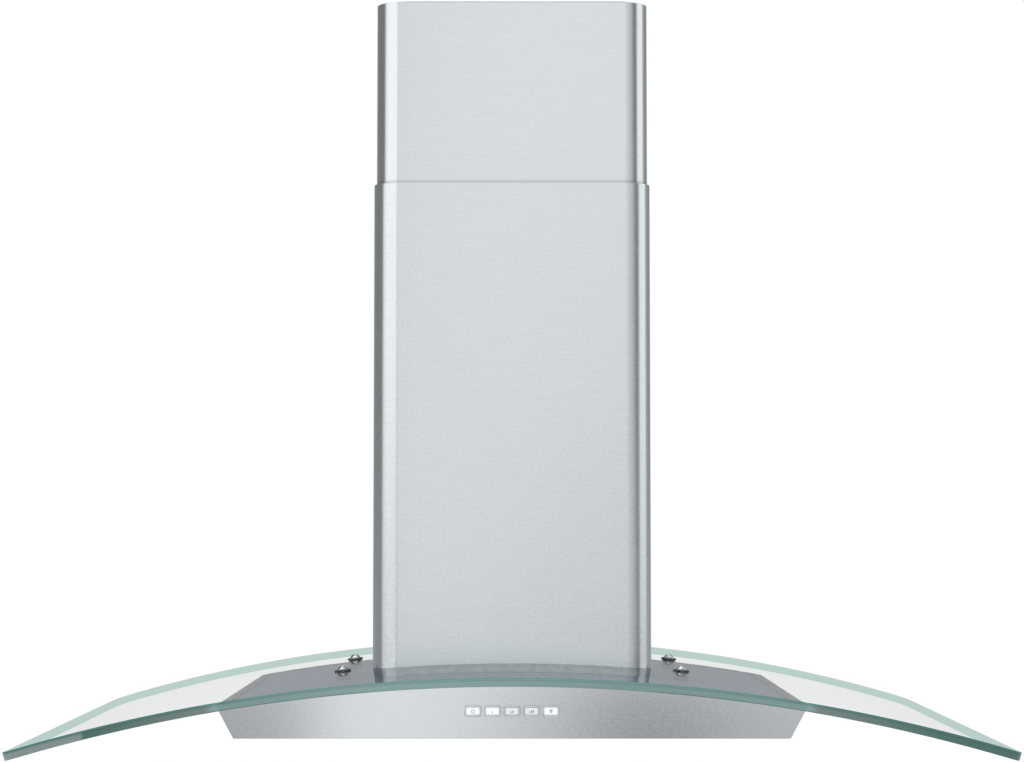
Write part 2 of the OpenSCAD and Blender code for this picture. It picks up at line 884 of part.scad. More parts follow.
// The lead from the circuit board, through the blower box and up into the wiring box
module control_cable() {
    plug_back = board_y + board_t + plug_h;
    z = plug_z - button_drop;
    into_box = box_top - glass_z;
    route = [
        [plug_x, plug_back, z], [plug_x + 1, plug_back + 11, z], [plug_x + 4, -154, z],
        [56, -142, z + 1], [67, -128, z + 3], [80, -112, z + 6],
        [90, -96, z + 10], [96, -82, z + 15], [99, -70, z + 22],
        [gland_x, -60, z + 31], [gland_x, lead_y - 2, 0], [gland_x, lead_y, 20],
        [gland_x, lead_y, into_box / 3], [gland_x, lead_y, into_box * 2 / 3],
        [gland_x, lead_y, into_box + 6]
    ];
    color([0.15, 0.15, 0.15]) translate([0, 0, glass_z]) tube_along(route, 2.5, 8);
}

// ---------- lamps ----------

module lamp_bezels() {
    color([0.75, 0.76, 0.77]) at_corners(lamp_x, lamp_y) translate([0, 0, body_z]) difference() {
        union() {
            translate([0, 0, -lamp_proud]) cylinder(r1 = lamp_r - 1, r2 = lamp_r, h = lamp_proud - edge);
            translate([0, 0, -0.5]) cylinder(r = lamp_hole_r, h = 12);
        }
        translate([0, 0, -lamp_proud - past]) cylinder(r = lamp_inner_r - 2, h = 20);
        cylinder(r = lamp_inner_r, h = 20);
    }
}

module lamp_lenses() {
    color([0.95, 0.95, 0.9, 0.8]) at_corners(lamp_x, lamp_y) translate([0, 0, body_z + edge])
        cylinder(r = lamp_inner_r - 0.2, h = lens_t);
}

module lamp_modules() {
    can_h = 14;
    fin_h = 6;
    color("silver") at_corners(lamp_x, lamp_y) translate([0, 0, body_z + lens_t + 2 * edge]) {
        difference() {
            cylinder(r = lamp_inner_r - 0.2, h = can_h);
            translate([0, 0, -past]) cylinder(r = 22, h = can_h - 3);
        }
        for (a = [0:45:315]) rotate([0, 0, a]) translate([6, -0.8, can_h - edge])
            cube([16, 1.6, fin_h]);
        translate([0, 0, can_h - edge]) cylinder(r = 7, h = fin_h);
    }
}

module led_driver() {
    w = 40;
    l = 90;
    h = 18;
    color([0.9, 0.9, 0.9]) translate([-lamp_x, 0, body_z + sheet_t]) difference() {
        translate([-w / 2, -l / 2, 0]) cube([w, l, h]);
        for (y = [-40, 40]) translate([2 - w / 2, y - 6, h - 6]) cube([w - 4, 12, h]);
    }
}

// ---------- filters ----------

module filter_brackets() {
    ear_t = 2;
    ear_r = 6.5;
    color("silver") for (x = [-193, -3.5, 1.5, 191]) translate([0, pivot_y, 0]) difference() {
        union() {
            translate([x, -7, body_z + sheet_t]) cube([ear_t, 14, pivot_z - body_z - sheet_t]);
            translate([0, 0, pivot_z]) rod_x(x, x + ear_t, ear_r);
        }
        translate([0, 0, pivot_z]) rod_x(x - past, x + ear_t + past, pivot_r + running_gap);
        translate([x - past, -10, body_z - 10]) cube([ear_t + 2 * past, 20, 10 + sheet_t]);
    }
}

module filter_frame() {
    w = filter_w / 2;
    l = filter_l / 2;
    window_w = filter_w - 2 * side_bar;
    window_l = filter_l - front_bar - side_bar;
    color([0.78, 0.79, 0.8]) translate([0, 0, filter_z]) difference() {
        union() {
            translate([-w, -l, 0]) cube([filter_w, filter_l, filter_t]);
            translate([0, pivot_y, filter_t / 2]) rod_x(1.2 - filter_x, 194 - filter_x, pivot_r);
        }
        translate([-window_w / 2, front_bar - l, -past]) cube([window_w, window_l, filter_t + 2 * past]);
        translate([-window_w / 2 - channel, front_bar - l - channel, channel_t])
            cube([window_w + 2 * channel, window_l + 2 * channel, filter_t - 2 * channel_t]);
        translate([-latch_w / 2 - 0.3, -l - past, 2.7])
            cube([latch_w + 0.6, latch_l + past, latch_t + 0.6]);
        translate([-12.3, 9.7 - l, -past]) cube([24.6, 3 + latch_travel + 0.6, 5]);
    }
}

// Layers of aluminium mesh, with rows of slots through them, held in the frame's channel
module filter_mesh() {
    reach = channel - 0.2;
    w = filter_w / 2 - side_bar + reach;
    l = filter_l - front_bar - side_bar + 2 * reach;
    y0 = front_bar - filter_l / 2 - reach;
    t = filter_t - 2 * channel_t - 0.2;
    rows = 12;
    border = 4;
    step = (l - 2 * border) / rows;
    color([0.6, 0.61, 0.62]) translate([0, 0, filter_z + channel_t + 0.1]) difference() {
        translate([-w, y0, 0]) cube([2 * w, l, t]);
        for (i = [0:rows - 1], x = [6 - w, 6]) translate([x, y0 + border + (i + 0.25) * step, -past])
            cube([w - 12, step / 2, t + 2 * past]);
    }
}

module filter_latch() {
    l = filter_l / 2;
    tab_w = 24;
    tab_down = 3.5;
    color("silver") translate([0, 0, filter_z]) {
        translate([-latch_w / 2, -l - latch_tip, 3]) cube([latch_w, latch_l - latch_travel, latch_t]);
        translate([-tab_w / 2, 10 - l, -tab_down]) {
            cube([tab_w, 2, 2 * tab_down]);
            cube([tab_w, 4, 1.2]);
        }
    }
}

module filter_part(side, part) {
    translate([side == "left" ? -filter_x : filter_x, 0, 0]) mirror([side == "left" ? 1 : 0, 0, 0]) {
        if (part == "frame") filter_frame();
        if (part == "mesh") filter_mesh();
        if (part == "latch") filter_latch();
    }
}

ceiling_bracket();
upper_angles();
upper_cover();
upper_cover_screws();
lower_angles();
frame_bolts();
frame_nuts();
blower_box();
box_screws();
scroll_housing();
motor();
motor_bracket();
capacitor();
motor_shaft();
blower_wheel();
duct_collar();
damper_rod();
damper_flap_front();
damper_flap_back();
wiring_box();
wiring_lid();
cable_gland();
lower_cover();
cover_brackets();
lower_cover_screws();
glass_canopy();
glass_gasket();
glass_bushes();
glass_washers();
glass_screws();
glass_nuts();
top_plate();
front_panel();
back_panel();
end_panel_left();
end_panel_right();
bottom_panel();
button_holder();
control_board();
board_screws();
control_cable();
for (i = [1:5]) button(i);
lamp_bezels();
lamp_lenses();
lamp_modules();
led_driver();
filter_brackets();
for (side = ["left", "right"], part = ["frame", "mesh", "latch"])
    filter_part(side, part);
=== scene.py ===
"""Looks for the island range hood: brushed steel, curved glass, buttons, lamps and grease filters."""

import json
import math
from contextlib import contextmanager

import bmesh
import bpy
from mathutils import Matrix, Vector


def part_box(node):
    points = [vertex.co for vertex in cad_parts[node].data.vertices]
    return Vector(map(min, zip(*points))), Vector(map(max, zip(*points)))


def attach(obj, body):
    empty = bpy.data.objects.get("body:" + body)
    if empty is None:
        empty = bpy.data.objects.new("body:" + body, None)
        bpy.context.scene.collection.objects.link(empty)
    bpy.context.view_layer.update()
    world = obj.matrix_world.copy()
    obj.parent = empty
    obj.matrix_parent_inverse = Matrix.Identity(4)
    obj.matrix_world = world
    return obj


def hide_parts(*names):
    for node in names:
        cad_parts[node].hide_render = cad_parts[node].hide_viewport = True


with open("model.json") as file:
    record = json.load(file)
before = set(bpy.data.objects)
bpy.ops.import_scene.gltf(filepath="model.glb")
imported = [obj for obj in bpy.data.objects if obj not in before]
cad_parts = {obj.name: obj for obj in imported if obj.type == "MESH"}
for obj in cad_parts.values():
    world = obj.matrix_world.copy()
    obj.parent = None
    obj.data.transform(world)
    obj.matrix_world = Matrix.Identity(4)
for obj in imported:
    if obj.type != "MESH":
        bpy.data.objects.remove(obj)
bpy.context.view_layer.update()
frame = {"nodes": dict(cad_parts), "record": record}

MM = 0.001
GLASS_LOW, GLASS_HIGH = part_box("glass_canopy")
GLASS_TOP = GLASS_HIGH.z
GLASS_R = 1580 * MM
GLASS_T = 8 * MM
ARC_MIDDLE = GLASS_TOP - GLASS_R
STUD_X = 166 * MM
STUD_Y = 90 * MM
SHEET_T = 1 * MM
SHEET_EDGE = 0.25 * MM
BUTTONS = 5
DIM_BUTTONS = (3, 4)
TINY = 1e-7

# Most of a noise texture's values lie between these two.
NOISE_LOW = 0.3
NOISE_HIGH = 0.7

# A colour Mix node's sockets: its two inputs, and its result.
COLOUR_A = 6
COLOUR_B = 7
COLOUR_OUT = 2


# ---------- small helpers ----------


def link(obj):
    bpy.context.scene.collection.objects.link(obj)
    return obj


def arc_z(x, r=GLASS_R):
    """Height of a curved sheet of radius r, at x."""
    return ARC_MIDDLE + math.sqrt(r * r - x * x)


def on_glass(x, y):
    """Frame whose origin lies on top of the glass at (x, y), with its Z square to the glass."""
    tilt = math.asin(x / GLASS_R)
    place = Matrix.Translation((0, y, ARC_MIDDLE)) @ Matrix.Rotation(tilt, 4, "Y")
    return place @ Matrix.Translation((0, 0, GLASS_R))


def smooth_with_flats(obj):
    """Smooth shading in which the large faces stay flat and the small roundings blend into them."""
    for face in obj.data.polygons:
        face.use_smooth = True
    mod = obj.modifiers.new("weighted", "WEIGHTED_NORMAL")
    mod.weight = 90
    mod.keep_sharp = True
    return apply_modifiers(obj)


def apply_modifiers(obj):
    """Replaces an object's mesh with the result of its modifiers, and removes them."""
    graph = bpy.context.evaluated_depsgraph_get()
    mesh = bpy.data.meshes.new_from_object(obj.evaluated_get(graph))
    obj.modifiers.clear()
    obj.data = mesh
    return obj


@contextmanager
def editing(mesh):
    """A mesh as a bmesh to work on, written back at the end."""
    work = bmesh.new()
    work.from_mesh(mesh)
    yield work
    work.to_mesh(mesh)
    work.free()


def mesh_object(name, verts, faces):
    mesh = bpy.data.meshes.new(name)
    mesh.from_pydata(verts, [], faces)
    mesh.update()
    return link(bpy.data.objects.new(name, mesh))


def finish_piece(obj, body, slot, material, *nodes):
    """Puts a piece on its body, gives it its material and hides the CAD nodes that it stands for."""
    for each in material if isinstance(material, list) else [material]:
        obj.data.materials.append(each)
    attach(obj, body)
    if nodes:
        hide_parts(*nodes)
    return obj


def rounded_loop(w, d, r, steps=8, front_r=None):
    """Points round a rectangle with round corners, anticlockwise, centred on the origin.

    The two corners with the lower second coordinate can have a radius of their own, front_r.
    """
    radii = (r, r, front_r or r, front_r or r)
    points = []
    for (cx, cy), start, r in zip(((1, 1), (-1, 1), (-1, -1), (1, -1)), (0, 90, 180, 270), radii):
        for i in range(steps + 1):
            a = math.radians(start + 90 * i / steps)
            points.append((cx * (w / 2 - r) + r * math.cos(a), cy * (d / 2 - r) + r * math.sin(a)))
    return points


def circle_loop(x, y, r, steps=32):
    angles = [2 * math.pi * i / steps for i in range(steps)]
    return [(x + r * math.cos(a), y + r * math.sin(a)) for a in angles]


def plate(name, outline, holes, thickness, bevel, steps=2):
    """A flat plate in X and Y with rounded edges, its middle plane at z = 0."""
    weld = bevel / 50
    flat_angle = math.radians(0.2)
    curve = bpy.data.curves.new(name, "CURVE")
    curve.dimensions = "2D"
    curve.fill_mode = "BOTH"
    curve.extrude = thickness / 2 - bevel
    curve.bevel_depth = bevel
    curve.bevel_resolution = steps
    curve.offset = -bevel
    for loop in [outline, *holes]:
        spline = curve.splines.new("POLY")
        spline.points.add(len(loop) - 1)
        for point, (x, y) in zip(spline.points, loop):
            point.co = (x, y, 0, 1)
        spline.use_cyclic_u = True
    source = link(bpy.data.objects.new(name, curve))
    graph = bpy.context.evaluated_depsgraph_get()
    mesh = bpy.data.meshes.new_from_object(source.evaluated_get(graph))
    bpy.data.objects.remove(source)
    bpy.data.curves.remove(curve)
    with editing(mesh) as work:
        bmesh.ops.remove_doubles(work, verts=work.verts, dist=weld)
        bmesh.ops.dissolve_limit(work, angle_limit=flat_angle, verts=work.verts, edges=work.edges)
        bmesh.ops.recalc_face_normals(work, faces=work.faces)
    mesh.name = name
    return link(bpy.data.objects.new(name, mesh))


def turned(name, profile, steps=48, radius=None):
    """A piece turned about Z from (radius, height) points; radius(angle, r) can wave its outline."""
    verts = []
    faces = []
    rows = len(profile)
    for i in range(steps):
        a = 2 * math.pi * i / steps
        for r, z in profile:
            q = radius(a, r) if radius else r
            verts.append((q * math.cos(a), q * math.sin(a), z))
    for i in range(steps):
        j = (i + 1) % steps
        for k in range(rows - 1):
            faces.append((i * rows + k, j * rows + k, j * rows + k + 1, i * rows + k + 1))
    obj = mesh_object(name, verts, faces)
    with editing(obj.data) as work:
        bmesh.ops.remove_doubles(work, verts=work.verts, dist=TINY)
        bmesh.ops.holes_fill(work, edges=[e for e in work.edges if e.is_boundary], sides=0)
        bmesh.ops.recalc_face_normals(work, faces=work.faces)
    return obj


def joined(name, objects):
    """One object that holds the meshes of several, in the shared frame."""
    work = bmesh.new()
    for obj in objects:
        mesh = obj.data.copy()
        mesh.transform(obj.matrix_world)
        work.from_mesh(mesh)
        bpy.data.meshes.remove(mesh)
    mesh = bpy.data.meshes.new(name)
    work.to_mesh(mesh)
    work.free()
    for obj in objects:
        bpy.data.objects.remove(obj)
    return link(bpy.data.objects.new(name, mesh))


def softened(node, bevel):
    """A copy of a CAD node with its sharp edges rounded."""
    weld = 1e-6
    flat_angle = math.radians(0.5)
    sharp_angle = math.radians(32)
    source = frame["nodes"][node]
    obj = link(bpy.data.objects.new(node + "_piece", source.data.copy()))
    obj.data.materials.clear()
    with editing(obj.data) as work:
        bmesh.ops.remove_doubles(work, verts=work.verts, dist=weld)
        bmesh.ops.dissolve_limit(work, angle_limit=flat_angle, verts=work.verts, edges=work.edges)
    mod = obj.modifiers.new("bevel", "BEVEL")
    mod.width = bevel
    mod.segments = 2
    mod.limit_method = "ANGLE"
    mod.angle_limit = sharp_angle
    mod.use_clamp_overlap = True
    apply_modifiers(obj)
    return smooth_with_flats(obj)


# ---------- materials ----------


class Nodes:
    """The node tree of a material or a world, with short calls to add and join nodes."""

    def __init__(self, owner, output="ShaderNodeOutputMaterial"):
        self.owner = owner
        self.owner.use_nodes = True
        self.tree = self.owner.node_tree
        self.tree.nodes.clear()
        self.output = self.tree.nodes.new(output)

    def add(self, kind, **values):
        """A new node. Each value goes to the input of that name, or else to the node's own setting."""
        node = self.tree.nodes.new(kind)
        for key, value in values.items():
            if key in node.inputs:
                node.inputs[key].default_value = value
            else:
                setattr(node, key, value)
        return node

    def join(self, source, target):
        self.tree.links.new(source, target)

    def coords(self, scale):
        """Object coordinates, stretched by scale."""
        place = self.add("ShaderNodeTexCoord")
        mapping = self.add("ShaderNodeMapping")
        mapping.inputs["Scale"].default_value = scale
        self.join(place.outputs["Object"], mapping.inputs["Vector"])
        return mapping.outputs["Vector"]

    def noise(self, scale, vector, detail=4.0, roughness=0.6):
        node = self.add("ShaderNodeTexNoise")
        node.inputs["Scale"].default_value = scale
        node.inputs["Detail"].default_value = detail
        node.inputs["Roughness"].default_value = roughness
        self.join(vector, node.inputs["Vector"])
        return node.outputs["Fac"]

    def spread(self, source, low, high, from_low=NOISE_LOW, from_high=NOISE_HIGH):
        """Carries a pattern over from the range from_low to from_high to the range low to high."""
        node = self.add("ShaderNodeMapRange")
        node.inputs["From Min"].default_value = from_low
        node.inputs["From Max"].default_value = from_high
        node.inputs["To Min"].default_value = low
        node.inputs["To Max"].default_value = high
        self.join(source, node.inputs["Value"])
        return node.outputs["Result"]

    def tint(self, source, dark, light):
        """A colour that follows a noise pattern between two colours."""
        return self.ramp(source, [(NOISE_LOW, dark), (NOISE_HIGH, light)])

    def ramp(self, source, stops):
        """Colours or grey levels that follow a 0 to 1 value from stop to stop."""
        node = self.add("ShaderNodeValToRGB")
        elements = node.color_ramp.elements
        while len(elements) < len(stops):
            elements.new(0.5)
        for element, (at, colour) in zip(elements, stops):
            element.position = at
            element.color = (*colour, 1) if isinstance(colour, tuple) else (colour, colour, colour, 1)
        self.join(source, node.inputs["Fac"])
        return node.outputs["Color"]

    def curve(self, source, stops):
        """Grey levels that follow a value of any range from stop to stop."""
        low, high = stops[0][0], stops[-1][0]
        reach = high - low
        share = self.math("MULTIPLY_ADD", source, 1 / reach, -low / reach)
        return self.ramp(share, [((at - low) / reach, level) for at, level in stops])

    def math(self, operation, *values):
        """The result of a Math node; each value is a number or a socket."""
        node = self.add("ShaderNodeMath", operation=operation)
        for socket, value in zip(node.inputs, values):
            if isinstance(value, (int, float)):
                socket.default_value = value
            else:
                self.join(value, socket)
        return node.outputs[0]

    def mix(self, amount, a, b, blend="MIX"):
        """Two colours mixed by an amount, which is a number or a pattern."""
        node = self.add("ShaderNodeMix", data_type="RGBA", blend_type=blend)
        if isinstance(amount, float):
            node.inputs["Factor"].default_value = amount
        else:
            self.join(amount, node.inputs["Factor"])
        self.join(a, node.inputs[COLOUR_A])
        self.join(b, node.inputs[COLOUR_B])
        return node.outputs[COLOUR_OUT]

    def mix_shaders(self, amount, a, b):
        node = self.add("ShaderNodeMixShader")
        self.join(amount, node.inputs["Fac"])
        self.join(a.outputs[0], node.inputs[1])
        self.join(b.outputs[0], node.inputs[2])
        return node

    def bump(self, source, strength, distance):
        node = self.add("ShaderNodeBump")
        node.inputs["Strength"].default_value = strength
        node.inputs["Distance"].default_value = distance
        self.join(source, node.inputs["Height"])
        return node.outputs["Normal"]

    def principled(self, **values):
        node = self.add("ShaderNodeBsdfPrincipled")
        for key, value in values.items():
            node.inputs[key.replace("_", " ")].default_value = value
        return node

    def done(self, shader):
        self.join(shader.outputs[0], self.output.inputs["Surface"])
        return self.owner


def material_nodes(name):
    return Nodes(bpy.data.materials.new(name))


def scaled(colour, k):
    return tuple(min(1.0, c * k) for c in colour)


def brushed_steel(name, colour, lines, roughness=0.2, anisotropy=0.9, grain=1.0, painted_shade_reach=0.0):
    """Brushed stainless steel.

    Lines is the texture's scale per metre along X, Y and Z: the brush lines run along the axes with the
    smaller scales. The last argument is how far from a step or a joint a painted shade darkens the steel's
    colour.
    """
    finest = 500
    longer = 0.12
    cloud_tone = 0.985
    n = material_nodes(name)
    short = n.noise(1.0, n.coords(lines), detail=2.0)
    long = n.noise(1.0, n.coords([longer * k if k < finest else k for k in lines]), detail=2.0)
    cloud = n.noise(3.0, n.coords((1, 1, 1)), detail=2.0)
    shader = n.principled(Metallic=1.0, Anisotropic=anisotropy, Anisotropic_Rotation=0.25)
    base = n.tint(short, scaled(colour, 1 - 0.055 * grain), scaled(colour, 1 + 0.03 * grain))
    for other, dark in ((long, 1 - 0.025 * grain), (cloud, cloud_tone)):
        base = n.mix(1.0, base, n.tint(other, (dark, dark, dark), (1, 1, 1)), "MULTIPLY")
    # Painted shade: ambient occlusion darkens the base colour near steps and joints, where shade falls.
    if painted_shade_reach:
        shade = n.add("ShaderNodeAmbientOcclusion", samples=8)
        shade.inputs["Distance"].default_value = painted_shade_reach
        n.join(base, shade.inputs["Color"])
        base = shade.outputs["Color"]
    n.join(base, shader.inputs["Base Color"])
    n.join(n.spread(short, roughness * 0.88, roughness * 1.12), shader.inputs["Roughness"])
    n.join(n.bump(short, 0.05 * grain, 0.01 * MM), shader.inputs["Normal"])
    return n.done(shader)


def plain_metal(name, colour, roughness, grain=400.0, spread=0.1, strength=0.1):
    """Polished, plated or cast metal with a fine grain."""
    n = material_nodes(name)
    vector = n.coords((1, 1, 1))
    fine = n.noise(grain, vector)
    shader = n.principled(Metallic=1.0)
    n.join(n.tint(fine, scaled(colour, 0.92), colour), shader.inputs["Base Color"])
    n.join(n.spread(fine, roughness * (1 - spread), roughness * (1 + spread)), shader.inputs["Roughness"])
    n.join(n.bump(fine, strength, 0.02 * MM), shader.inputs["Normal"])
    return n.done(shader)


def galvanised(name):
    """Zinc-coated sheet: soft grey flakes of slightly different tone."""
    n = material_nodes(name)
    cells = n.add("ShaderNodeTexVoronoi")
    cells.inputs["Scale"].default_value = 140
    n.join(n.coords((1, 1, 1)), cells.inputs["Vector"])
    tone = n.add("ShaderNodeSeparateColor")
    n.join(cells.outputs["Color"], tone.inputs["Color"])
    shader = n.principled(Metallic=0.85)
    n.join(n.tint(tone.outputs["Red"], (0.52, 0.53, 0.55), (0.62, 0.63, 0.64)), shader.inputs["Base Color"])
    n.join(n.spread(tone.outputs["Green"], 0.34, 0.48, 0, 1), shader.inputs["Roughness"])
    return n.done(shader)


def moulded(name, colour, roughness=0.45, grain=900.0, strength=0.25, coat=0.0, mottle=1.0, **values):
    """Moulded plastic or rubber with a fine texture and a little variation in tone."""
    n = material_nodes(name)
    vector = n.coords((1, 1, 1))
    fine = n.noise(grain, vector)
    cloud = n.noise(25.0, vector)
    shader = n.principled(Coat_Weight=coat, **values)
    dark, light = scaled(colour, 1 - 0.07 * mottle), scaled(colour, 1 + 0.03 * mottle)
    n.join(n.tint(cloud, dark, light), shader.inputs["Base Color"])
    n.join(n.spread(fine, roughness * 0.9, roughness * 1.12), shader.inputs["Roughness"])
    n.join(n.bump(fine, strength, 0.03 * MM), shader.inputs["Normal"])
    return n.done(shader)


def plate_with_painted_reflection(name, colour, painted_reflection_colour):
    """Satin paint in its own colour face on; seen nearly edge on it turns to a second, darker colour, a
    painted reflection.
    """
    dark, light = 0.95, 1.03
    n = material_nodes(name)
    cloud = n.noise(25.0, n.coords((1, 1, 1)))
    facing = n.add("ShaderNodeLayerWeight", Blend=0.5)
    # How much of the painted reflection shows: more, the nearer the view is to edge on.
    edge_on = n.spread(facing.outputs["Facing"], 0, 1, 0.5, 0.86)
    face_tone = n.tint(cloud, scaled(colour, dark), scaled(colour, light))
    painted_reflection_tone = n.tint(cloud, scaled(painted_reflection_colour, dark), scaled(painted_reflection_colour, light))
    shader = n.principled(Specular_IOR_Level=0.0, Roughness=0.7)
    n.join(n.mix(edge_on, face_tone, painted_reflection_tone), shader.inputs["Base Color"])
    return n.done(shader)


def glass_face(name, tint, grazing, base=0.04):
    """Clear sheet: light goes straight through, and more is mirrored the flatter it is looked at."""
    n = material_nodes(name)
    facing = n.add("ShaderNodeLayerWeight", Blend=0.5)
    amount = n.math("MULTIPLY_ADD", n.math("POWER", facing.outputs["Facing"], 5), grazing, base)
    clear = n.add("ShaderNodeBsdfTransparent")
    haze = n.noise(6.0, n.coords((1, 1, 1)), detail=2.0)
    n.join(n.tint(haze, scaled(tint, 0.985), tint), clear.inputs["Color"])
    gloss = n.add("ShaderNodeBsdfGlossy", Color=(0.98, 1.0, 1.0, 1), Roughness=0.012)
    return n.done(n.mix_shaders(amount, clear, gloss))


def glass_edge(name):
    """Polished green edge of the sheet, its colour painted with light and shade: lighter over the body
    behind it, darker towards its ends, a lighter band at the left end, and a teal painted highlight along
    its top.

    Seen from inside, through the glass, it is a pale green.
    """
    n = material_nodes(name)
    side = n.add("ShaderNodeNewGeometry")
    wave = n.noise(40.0, n.coords((1, 1, 6)), detail=3.0)
    place = n.add("ShaderNodeSeparateXYZ")
    n.join(n.coords((1, 1, 1)), place.inputs[0])
    reach = GLASS_HIGH.x
    along = n.spread(place.outputs["X"], 0, 1, -reach, reach)
    # Painted light along the edge: lighter over the body behind it, darker beside it and towards the ends,
    # and a lighter band of painted light at the left end.
    over_body, beside_body = (0.21, 0.33, 0.325), (0.15, 0.215, 0.2)
    left_end, left_shine, left_dark = (0.22, 0.28, 0.27), (0.2, 0.27, 0.26), (0.045, 0.125, 0.105)
    right_end = (0.05, 0.135, 0.12)
    face = n.ramp(along, [
        (0, left_end), (0.0781, left_shine), (0.0791, left_dark), (0.2, beside_body), (0.206, over_body),
        (0.794, over_body), (0.8, beside_body), (0.92, right_end), (1, right_end)])
    # The teal line along the top arris is a painted highlight, brighter over the body.
    arris_end, arris_beside, arris_over = (0.02, 0.156, 0.127), (0.03, 0.17, 0.14), (0.14, 0.32, 0.31)
    arris_highlight = n.ramp(along, [
        (0, arris_end), (0.19, arris_beside), (0.24, arris_over), (0.76, arris_over), (0.81, arris_beside),
        (1, arris_end)])
    centre = n.add("ShaderNodeVectorMath", operation="SUBTRACT")
    centre.inputs[1].default_value = (0, 0, ARC_MIDDLE)
    flat = n.add("ShaderNodeMapping")
    flat.inputs["Scale"].default_value = (1, 0, 1)
    n.join(n.coords((1, 1, 1)), centre.inputs[0])
    n.join(centre.outputs[0], flat.inputs["Vector"])
    radius = n.add("ShaderNodeVectorMath", operation="LENGTH")
    n.join(flat.outputs[0], radius.inputs[0])
    near_top = n.spread(radius.outputs["Value"], 0, 1, GLASS_R - 1.9 * MM, GLASS_R - 1.5 * MM)
    colour = n.mix(near_top, face, arris_highlight)
    depth = n.spread(radius.outputs["Value"], 0, 1, GLASS_R - GLASS_T, GLASS_R)
    # Painted shade down the edge's depth: darker at the bottom rounding and in a band just under the top
    # line.
    shade = n.ramp(depth, [(0, 0.82), (0.07, 1.0), (0.55, 1.0), (0.68, 0.8), (0.76, 0.72), (0.82, 1.0)])
    # Painted shadow line along the foot of the edge, over the body on either side of the chimney.
    painted_shadow_line = n.ramp(depth, [(0, 0.5), (0.09, 0.5), (0.13, 1.0)])
    beside_chimney = n.ramp(along, [
        (0.19, 0.0), (0.2, 1.0), (0.35, 1.0), (0.37, 0.0),
        (0.63, 0.0), (0.65, 1.0), (0.8, 1.0), (0.81, 0.0)])
    toned = n.mix(1.0, shade, colour, "MULTIPLY")
    outside = n.principled(Coat_Weight=1.0, Coat_Roughness=0.05, Roughness=0.25)
    n.join(n.mix(beside_chimney, toned, painted_shadow_line, "MULTIPLY"), outside.inputs["Base Color"])
    through = n.add("ShaderNodeBsdfTransparent", Color=(0.3, 0.5, 0.46, 1))
    solid = n.ramp(along, [(0.207, 1.0), (0.213, 0.74), (0.787, 0.74), (0.793, 1.0)])
    outer = n.mix_shaders(solid, through, outside)
    pale = n.add("ShaderNodeBsdfTransparent")
    n.join(n.tint(wave, (0.38, 0.6, 0.54), (0.42, 0.64, 0.59)), pale.inputs["Color"])
    return n.done(n.mix_shaders(side.outputs["Backfacing"], outer, pale))


STEEL = (0.785, 0.824, 0.85)
CHIMNEY_LINES = (340, 340, 640)
# The upper cover's steel carries a painted shade next to the step over the lower cover's rim.
upper_steel = brushed_steel("upper_steel", STEEL, CHIMNEY_LINES, painted_shade_reach=5 * MM)
chimney_steel = brushed_steel("chimney_steel", STEEL, CHIMNEY_LINES, grain=1.2)
panel_steel = brushed_steel("panel_steel", STEEL, (260, 260, 640), 0.09, anisotropy=0.3, grain=0.7)
flat_steel = brushed_steel("flat_steel", STEEL, (130, 640, 640), roughness=0.32, anisotropy=0.0)
# Top plate: its own grey face on, and a painted dark reflection when seen nearly edge on.
plate_paint_and_reflection = plate_with_painted_reflection("plate_paint_and_reflection", (0.27, 0.3, 0.33), (0.08, 0.125, 0.18))
zinc = galvanised("galvanised_sheet")
plated = plain_metal("plated_fastener", (0.7, 0.71, 0.72), 0.28)
polished = plain_metal("polished_fitting", (0.86, 0.87, 0.88), 0.07, strength=0.02)
dark_chrome = plain_metal("dark_chrome", (0.2, 0.21, 0.22), 0.1, strength=0.02)
shaft_steel = plain_metal("ground_steel", (0.66, 0.66, 0.67), 0.2)
aluminium = plain_metal("satin_aluminium", (0.8, 0.81, 0.82), 0.38, grain=700.0)
mesh_metal = plain_metal("aluminium_mesh", (0.74, 0.75, 0.76), 0.3)
dark_screw = moulded("dark_screw", (0.03, 0.03, 0.032), roughness=0.3, Metallic=0.6)
black_plastic = moulded("black_plastic", (0.02, 0.02, 0.022))
white_plastic = moulded("white_plastic", (0.74, 0.74, 0.72))
wheel_plastic = moulded("wheel_plastic", (0.045, 0.045, 0.05), roughness=0.3)
motor_paint = moulded("motor_enamel", (0.07, 0.075, 0.085), roughness=0.35, coat=0.3)
gasket_rubber = moulded("gasket_rubber", (0.05, 0.05, 0.052), roughness=0.8, grain=2500.0)
cable_rubber = moulded("cable_sheath", (0.015, 0.015, 0.015), roughness=0.55)
board_mask = moulded("board_mask", (0.01, 0.09, 0.04), roughness=0.3, coat=0.5)
rim_plastic = moulded("button_rim", (0.8, 0.83, 0.85), roughness=0.22, Metallic=0.9)
cap_lit = moulded("button_cap_lit", (0.9, 0.91, 0.92), roughness=0.25, coat=0.4,
                  Emission_Color=(1, 1, 1, 1), Emission_Strength=0.2)
cap_dim = moulded("button_cap_dim", (0.84, 0.85, 0.87), roughness=0.25, coat=0.4,
                  Emission_Color=(1, 1, 1, 1), Emission_Strength=0.06)
ink = moulded("button_ink", (0.05, 0.055, 0.065), roughness=0.5)
lens_glass = moulded("frosted_lens", (0.86, 0.87, 0.86), roughness=0.3, grain=1500.0, coat=0.6)
lamp_metal = plain_metal("lamp_heat_sink", (0.62, 0.63, 0.64), 0.45)
glass_clear = glass_face("glass_top", (0.995, 1.0, 0.998), 0.5)
glass_under = glass_face("glass_under", (0.99, 1.0, 0.997), 0.02, base=0.02)
glass_side = glass_edge("glass_edge")

